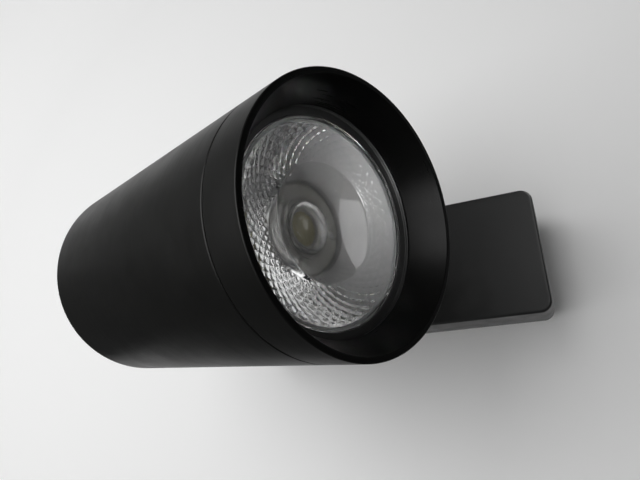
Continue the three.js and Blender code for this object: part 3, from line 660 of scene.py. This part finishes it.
dome = lathe([(COB_X - 0.5, 0), (COB_X - 0.5, 9.6), (COB_X - 0.15, 9.6), (COB_X - 0.02, 9.5), (COB_X + 0.06, 9.2), (COB_X + 0.1, 8.4), (COB_X + 0.12, 5), (COB_X + 0.12, 0)], 96, closed=False)
disc_of_light = head_piece("phosphor_disc", dome, "phosphor", ["cob_phosphor"])


def screw(r, t, length, shank, kind="cross", seg=48):
    """A screw along -Z whose head's top is at z = 0."""
    body = lathe(rounded([(0, 0), (0, r - 0.35, 0.9), (-t * 0.55, r, 0.5), (-t, r, 0.1), (-t, shank), (-length + 0.5, shank), (-length, shank * 0.6), (-length, 0)], False, 4), seg, "z", closed=False)
    if kind == "cross":
        w, a = r * 0.17, r * 0.62
        for ax in (0, 1):
            x, y = (a, w) if ax == 0 else (w, a)
            x2, y2 = (a * 0.45, w * 0.7) if ax == 0 else (w * 0.7, a * 0.45)
            lo = [(-x2, -y2, -t * 0.75), (x2, -y2, -t * 0.75), (x2, y2, -t * 0.75), (-x2, y2, -t * 0.75)]
            hi = [(-x, -y, 0.3), (x, -y, 0.3), (x, y, 0.3), (-x, y, 0.3)]
            body = cut(body, mesh_of(lo + hi, [(3, 2, 1, 0), (4, 5, 6, 7), (0, 1, 5, 4), (1, 2, 6, 5), (2, 3, 7, 6), (3, 0, 4, 7)]))
    return body


RX = Matrix.Rotation
for i, (y, z) in enumerate(screw_at):
    back_pieces.append(head_piece(f"rear_screw_{i + 1}", moved(screw(2.8, 1.2, 9, 1.4), Matrix.Translation((REAR + 0.1, y, z)) @ RX(math.radians(-90), 4, "Y")), "screw_steel", [f"rear_cap_screw_{i + 1}"]))
for i, s in ((1, -1), (2, 1)):
    head_piece(f"cob_screw_{i}", moved(screw(1.7, 0.9, 7, 1.0), Matrix.Translation((COB_X + 0.35, 0, s * 14.6)) @ RX(math.radians(90), 4, "Y")), "screw_steel", [f"cob_holder_screw_{i}"])
    head_piece(f"bracket_bolt_{i}", moved(screw(3.4, 2.2, 12.5, 1.8), Matrix.Translation((17 - GAP - 3 - GAP - 2.2, s * 16.5, 0)) @ RX(math.radians(-90), 4, "Y")), "screw_steel", [f"bracket_screw_{i}"])


# ---------------------------------------------------------------- driver box
def lean(x, y, z):
    d = 0.8 * (z + BOX_H) / BOX_H
    return Vector((60 + (x - 60) * (93 + d) / 93, y * (32 + d) / 32, z))


def box_ring(i, z, r=None, n=12):
    return [lean(x, y, z) for x, y in rrect(BOX_L + i, -BOX_W / 2 + i, BOX_R - i, BOX_W / 2 - i, max((6 - i) if r is None else r, 0.1), n)]


top_pieces = []
E = 1.3
sec = [box_ring(E + 0.9, -BOX_H)]
sec += [box_ring(E * (1 - math.sin(t)), -BOX_H + E * (1 - math.cos(t))) for t in (math.pi / 2 * k / 8 for k in range(9))]
sec += [box_ring(0, -4.75), box_ring(0.05, -4.55), box_ring(0.25, -4.3), box_ring(2.0, -4.3, 4.0), box_ring(2.2, -4.5, 3.8), box_ring(2.2, -28.7, 3.8), box_ring(2.5, -29.3, 3.5), box_ring(3.2, -29.5, 3.0)]
housing = loft(sec)
cover_screws = [(-26.2, -25.2), (-26.2, 25.2), (146.2, -25.2), (146.2, 25.2)]
board_posts = [(30, -22), (136, 22), (30, 22), (136, -22)]
for x, y in cover_screws:
    housing = union(housing, cut(rod("z", 4.2, -BOX_H + 2, -6.5, (x, y), 40), rod("z", 1.6, -26, 4, (x, y), 20)))
for i, (x, y) in enumerate(board_posts):
    post = rod("z", 3.2, -BOX_H + 2, -26.2, (x, y), 32)
    housing = union(housing, cut(post, rod("z", 1.6, -29, -20, (x, y), 20)) if i < 2 else post)
housing = union(housing, block(-18.5, -1.3, -BOX_H + 2, -13.5, 1.3, -23.6))
housing = cut(housing, rod("z", 8.3, -BOX_H - 1, -20, (0, 0), 96))
box_shell = piece("moulded_housing", housing, "root", "black_plastic", ["driver_housing"])

sec = [box_ring(4.1, -4.0, 2.2), box_ring(4.1, -5.9, 2.2), box_ring(4.0, -6.0, 2.3), box_ring(2.7, -6.0, 3.3), box_ring(2.5, -5.8, 3.5), box_ring(2.5, -4.0, 3.5), box_ring(0.35, -4.0), box_ring(0.1, -3.9), box_ring(0.0, -3.65)]
sec += [box_ring(0.6 * (1 - math.cos(t)), -0.6 + 0.6 * math.sin(t)) for t in (math.pi / 2 * k / 5 for k in range(6))]
sec += [box_ring(1.2, 0.0)]
lid = loft(sec)


def sector(cx, cy, r, a0, a1, n=48):
    return [(cx, cy)] + [(cx + r * math.cos(math.radians(a0 + (a1 - a0) * k / n)), cy + r * math.sin(math.radians(a0 + (a1 - a0) * k / n))) for k in range(n + 1)]


lid = cut(lid, prism(rrect(NECK_X0 - 6, -17, NECK_X1 + 6, 17, 4, 8), -12, 6), prism(sector(ROTOR_X, 0, 35.4, -162, -18), -3.3, 6))
for x, y in cover_screws:
    lid = cut(lid, rod("z", 1.9, -12, 4, (x, y), 32), rod("z", 3.3, -2.2, 4, (x, y), 48))
lid = eased(lid, 0.2, 60, 2, lambda c: c.z > -0.05)
top_pieces.append(piece("moulded_cover", lid, "root", "black_plastic", ["driver_cover"]))
for i, (x, y) in enumerate(cover_screws):
    top_pieces.append(piece(f"cover_bolt_{i + 1}", moved(screw(3.0, 1.5, 9, 1.3), Matrix.Translation((x, y, -0.4))), "root", "screw_steel", [f"cover_screw_{i + 1}"]))

foot = slab(NECK_X0 - 6 + GAP, -17 + GAP, NECK_X1 + 6 - GAP, 17 - GAP, 3.7, -4, -0.4, 0.25)
rail = slab(NECK_X0, -NECK_W / 2, NECK_X1, NECK_W / 2, 2, -1, NECK_H, 0.8, 8, 5)
neck = union(foot, rail)
neck = cut(neck, rod("z", 13.2, 4.4, 20, (ROTOR_X, 0), 64), prism(sector(ROTOR_X, 0, 35.4, -162, -18), -3.3, -0.3), rod("z", 9.0, -3.3, -0.3, (ROTOR_X, 0), 64),
           rod("z", 5.3, -12, 20, (ROTOR_X, 0), 64), block(94, NECK_W / 2 - 2.6, 2.2, 112, NECK_W / 2 + 2, 7.2))
neck = eased(neck, 0.2, 60, 2, lambda c: c.z > -0.6)
top_pieces.append(piece("moulded_neck", neck, "root", "black_plastic", ["track_neck"]))

shaft = rod("z", 5.0, -3.9, 8.6, (ROTOR_X, 0), 64, 0.4)
wing = slab(ROTOR_X - 4, -10.1, ROTOR_X + 4, 10.1, 2.5, 4.9, 7.9, 0.6)
rotor = cut(union(shaft, wing), block(ROTOR_X - 1, -4, 7.4, ROTOR_X + 1, 4, 12), block(ROTOR_X - 8, 3.6, -6, ROTOR_X + 8, 9, -0.5), block(ROTOR_X - 8, -9, -6, ROTOR_X + 8, -3.6, -0.5))
top_pieces.append(piece("lock_shaft", rotor, "lock", "black_plastic", ["lock_rotor"]))

bar = slab(0, -3.6, 34, 3.6, 3.4, -2.9, -0.9, 0.35)
lever = union(rod("z", 7.8, -2.9, -0.9, (0, 0), 64, 0.35), bar, slab(25, -3.4, 27.6, 3.4, 1.2, -1.2, 3.6, 0.5))
for gx in (29.6, 31.2):
    lever = cut(lever, block(gx - 0.35, -2.6, -1.25, gx + 0.35, 2.6, 1))
lever = moved(lever, Matrix.Translation((ROTOR_X, 0, 0)) @ RX(math.radians(-135), 4, "Z"))
key = boolean(rod("z", 5.3, -6, 3, (ROTOR_X, 0), 64), [block(ROTOR_X - 5.4, -3.9, -5, ROTOR_X + 5.4, 3.9, 1)], "INTERSECT")
top_pieces.append(piece("release_lever", cut(lever, key), "lock", "red_plastic", ["lock_lever"]))

for name, s in (("contact_live", 1), ("contact_neutral", -1)):
    blade = slab(-3, 0, 3, 1.5, 0.7, 5.4, 7.4, 0.25, 6)
    blade = moved(blade, Matrix.Translation((ROTOR_X, 0, 0)) @ RX(0 if s > 0 else math.pi, 4, "Z") @ Matrix.Translation((0, 10.4, 0)))
    top_pieces.append(piece(name.replace("contact", "line_blade"), blade, "lock", "brass", [name]))

strip = union(block(95, NECK_W / 2 - 1.2, 2.8, 111, NECK_W / 2 - 0.2, 6.6), rod("x", 2.2, 99, 107, (NECK_W / 2 - 1.0, 4.7), 64, 0.5))
strip = cut(strip, block(90, NECK_W / 2 - 9, -2, 115, NECK_W / 2 - 1.2, 12))
strip = eased(strip, 0.2, 50, 2)
top_pieces.append(piece("earth_strip", strip, "earth", "brass", ["earth_contact"]))

# ---------------------------------------------------------------- swivel arm
fz = -BOX_H - GAP
zt = fz - 1
h, w, eye = 9.5, 13.5, 11.0


def quad(p0, c, p1, n=10):
    return [((1 - t) ** 2 * p0[0] + 2 * t * (1 - t) * c[0] + t * t * p1[0], (1 - t) ** 2 * p0[1] + 2 * t * (1 - t) * c[1] + t * t * p1[1]) for t in (k / n for k in range(n + 1))]


outline = [(-w, zt)] + quad((-w, zt - 4), (-h, zt - 7), (-h, zt - 15)) + [(-h, PIVOT_Z + 9)]
outline += [(eye * math.cos(math.radians(a)), PIVOT_Z + eye * math.sin(math.radians(a))) for a in [155 + 230 * k / 40 for k in range(41)]]
outline += [(h, PIVOT_Z + 9)] + quad((h, zt - 15), (h, zt - 7), (w, zt - 4)) + [(w, zt)]
leg = eased(prism(outline, -6, 6, "y"), 1.0, 50, 4)
disc = lathe(rounded([(fz, 0), (fz, 19, 0.3), (fz - 4.5, 19, 1.3), (fz - 4.5, 0)], False, 6), 128, "z", closed=False)
arm = union(leg, disc, rod("z", 5.2, fz - 1, -19, (0, 0), 64, 0.4))
arm = cut(arm, rod("z", 3.2, fz - 22, -10, (0, 0), 48), rod("x", 2.6, -30, 0, (0, fz - 20), 48), rod("y", 3.2, -20, 20, (0, PIVOT_Z), 64))
back_pieces.append(piece("cast_arm", arm, "arm", "black_coat", ["swivel_arm"], matrix=ARM_M))

# ---------------------------------------------------------------- CAD nodes that keep their own shape
SLOT_OF = {
    "screw_steel": ["pan_stop_washer", "pan_nut", "pivot_bracket", "tilt_bolt", "tilt_nut", "pcb_screw_1", "pcb_screw_2"],
    "friction_washer": ["tilt_washer_left", "tilt_washer_right"],
    "natural_plastic": ["pan_bush"],
    "grey_silicone": ["lens_gasket", "thermal_pad"],
    "bare_aluminium": ["heat_sink", "cob_board"],
    "circuit_board": ["driver_pcb"],
    "green_plastic": ["terminal_block"],
    "dark_winding": ["transformer"],
    "copper_winding": ["choke"],
    "capacitor_sleeve": ["input_capacitor", "output_capacitor"],
}
for slot_name, names in SLOT_OF.items():
    for n in names:
        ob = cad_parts[n]
        if not ob.material_slots:
            ob.data.materials.append(M[slot_name])
        for s in ob.material_slots:
            s.material = M[slot_name]
        b = ob.modifiers.new("edges", "BEVEL")
        b.width, b.segments, b.limit_method, b.angle_limit = 0.00025, 2, "ANGLE", math.radians(40)
        b.harden_normals = False

# ---------------------------------------------------------------- stage
def plane(name, size, z, mat, at=(0, 0)):
    me = bpy.data.meshes.new(name)
    s = size / 2
    me.from_pydata([(at[0] - s, at[1] - s, z), (at[0] + s, at[1] - s, z), (at[0] + s, at[1] + s, z), (at[0] - s, at[1] + s, z)], [], [(0, 1, 2, 3)])
    me.materials.append(mat)
    ob = bpy.data.objects.new(name, me)
    bpy.context.scene.collection.objects.link(ob)
    return ob


floor_mat = Mat("floor_paper")
floor_mat.set(Roughness=0.9)
floor_mat.color(floor_mat.mix(floor_mat.noise(400.0, 2), (0.60, 0.60, 0.60), (0.64, 0.64, 0.635)))
# the camera sees the paper pale and evenly lit; for the fixture it stays as dim as the room below
paper = floor_mat.node("ShaderNodeEmission")
paper.inputs["Color"].default_value = (0.86, 0.86, 0.855, 1)
level = floor_mat.node("ShaderNodeLightPath")
floor_mat.link(floor_mat.math("MULTIPLY", level.outputs["Is Camera Ray"], floor_mat.remap(floor_mat.noise(260.0, 3), 0.3, 0.7, 0.63, 0.66)), paper.inputs["Strength"])
both = floor_mat.node("ShaderNodeAddShader")
floor_mat.link(floor_mat.b.outputs[0], both.inputs[0])
floor_mat.link(paper.outputs[0], both.inputs[1])
floor_mat.link(both.outputs[0], floor_mat.out.inputs["Surface"])
plane("floor", 40.0, -1.25, floor_mat.m)

# the ceiling that the fixture hangs below: seen from underneath only
def ceiling_paint(name, glow):
    k = Mat(name)
    k.set(Roughness=0.85)
    k.color(k.mix(k.noise(300.0, 2), (0.93, 0.93, 0.93), (0.95, 0.95, 0.945)))
    k.bump(k.noise(1.2, 3), 0.08, 0.05)
    geo = k.node("ShaderNodeNewGeometry")
    clear = k.node("ShaderNodeBsdfTransparent")
    mixer = k.node("ShaderNodeMixShader")
    ray = k.node("ShaderNodeLightPath")
    paint = k.b.outputs[0]
    if glow:
        # far from the key the paint keeps the tone that it has near the fixture
        away = k.node("ShaderNodeVectorMath", operation="LENGTH")
        k.link(k.coord, away.inputs[0])
        lamp = k.node("ShaderNodeEmission")
        k.link(k.math("MULTIPLY", ray.outputs["Is Camera Ray"], k.remap(away.outputs["Value"], 0.35, 1.6, 0.0, glow)), lamp.inputs["Strength"])
        both = k.node("ShaderNodeAddShader")
        k.link(paint, both.inputs[0])
        k.link(lamp.outputs[0], both.inputs[1])
        paint = both.outputs[0]
    k.link(k.math("MULTIPLY", geo.outputs["Backfacing"], k.math("SUBTRACT", 1.0, ray.outputs["Is Shadow Ray"])), mixer.inputs[0])
    k.link(clear.outputs[0], mixer.inputs[1])
    k.link(paint, mixer.inputs[2])
    k.link(mixer.outputs[0], k.out.inputs["Surface"])
    return k.m


me = bpy.data.meshes.new("ceiling")
me.from_pydata([
    (-0.8, -0.75, 0.018), (0.22, -0.75, 0.018), (0.22, -0.10, 0.018), (0.22, 0.118, 0.018), (-0.22, 0.118, 0.018), (-0.22, -0.10, 0.018), (-0.8, -0.10, 0.018),
], [], [(0, 1, 2, 3, 4, 5, 6)])
me.materials.append(ceiling_paint("ceiling_paint", 0.6))
panel = bpy.data.objects.new("ceiling", me)
bpy.context.scene.collection.objects.link(panel)
# the rest of the ceiling closes the view from the sides, and throws nothing onto the fixture
rest = plane("ceiling_rest", 6.0, 0.0185, ceiling_paint("ceiling_paint_far", 0.6))
rest.visible_glossy = rest.visible_diffuse = rest.visible_transmission = rest.visible_shadow = False

world = bpy.data.worlds.new("studio")
bpy.context.scene.world = world
world.use_nodes = True
wt = world.node_tree
bg = wt.nodes["Background"]
bg.inputs["Color"].default_value = (0.80, 0.81, 0.82, 1)
seen = wt.nodes.new("ShaderNodeLightPath")
level = wt.nodes.new("ShaderNodeMapRange")
level.inputs[3].default_value, level.inputs[4].default_value = WORLD_DIM, 1.0
wt.links.new(seen.outputs["Is Camera Ray"], level.inputs[0])
wt.links.new(level.outputs[0], bg.inputs["Strength"])
bpy.context.scene.view_settings.view_transform = "Standard"


def area(name, at, to, size, power, color=(1, 1, 1), size_y=None):
    d = bpy.data.lights.new(name, "AREA")
    d.shape, d.size, d.energy, d.color = "RECTANGLE", size, power, color
    d.size_y = size_y or size
    ob = bpy.data.objects.new(name, d)
    bpy.context.scene.collection.objects.link(ob)
    ob.location = at
    ob.rotation_mode = "QUATERNION"
    ob.rotation_quaternion = (Vector(to) - Vector(at)).to_track_quat("-Z", "Y")
    return ob


key = area("key", (-0.28, -0.06, -0.74), (-0.02, -0.03, 0.0), 0.8, 6.3)
# the driver box takes its light from further along the track, past the head, and not from the key
shell = bpy.data.collections.new("box_shell")
shell.objects.link(box_shell)
area("along", (0.46, -0.26, -0.96), (0.14, 0, -0.03), 0.45, 1.5).light_linking.receiver_collection = shell
others = bpy.data.collections.new("all_but_box_shell")
others.objects.link(box_shell)
others.collection_objects[0].light_linking.link_state = "EXCLUDE"
key.light_linking.receiver_collection = others
area("over", (0.25, -0.45, 1.1), (0.05, 0, -0.05), 1.2, 14.0)
# two low lights draw the box's four sides; its underside hardly sees them
for name, at in (("low_left", (-0.80, 0.80, -0.50)), ("low_right", (0.85, -0.80, -0.50))):
    area(name, at, (0.04, 0, -0.01), 0.7, 6.0).light_linking.receiver_collection = shell
# a broad light for the parts that go into the track, seen only from above
top = bpy.data.collections.new("top_under_light")
for ob in top_pieces + [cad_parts[n] for n in ("pan_bush", "pan_nut")]:
    top.objects.link(ob)
area("high", (-0.5, 0.75, 0.9), (0.05, 0, 0), 1.1, 26.0).light_linking.receiver_collection = top
# and one for the back of the head, which the picture doesn't show
back = bpy.data.collections.new("back_under_light")
for ob in back_pieces:
    back.objects.link(ob)
area("behind", (-0.85, -0.4, 0.12), (-0.02, 0, -0.12), 0.7, 9.0).light_linking.receiver_collection = back
# soft fills for the optic alone, which the deep ring hides from the key
fills = [
    area("fill_near", (0.28, 0.70, -0.66), (0.088, 0.007, -0.15), 0.5, 0.3),
    area("fill_side", (0.088, 0.586, -0.839), (0.088, 0.007, -0.15), 0.45, 19.0),
    area("fill_far", (0.43, -0.60, -0.60), (0.088, 0.007, -0.15), 0.4, 0.5),
    area("fill_window", (1.114, -0.268, -0.435), (0.088, 0.007, -0.15), 0.85, 1.5, size_y=0.5),
]
optic = bpy.data.collections.new("optic_under_fills")
for ob in (lens, cup, clamp, disc_of_light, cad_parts["lens_gasket"]):
    optic.objects.link(ob)
for ob in fills:
    ob.light_linking.receiver_collection = optic
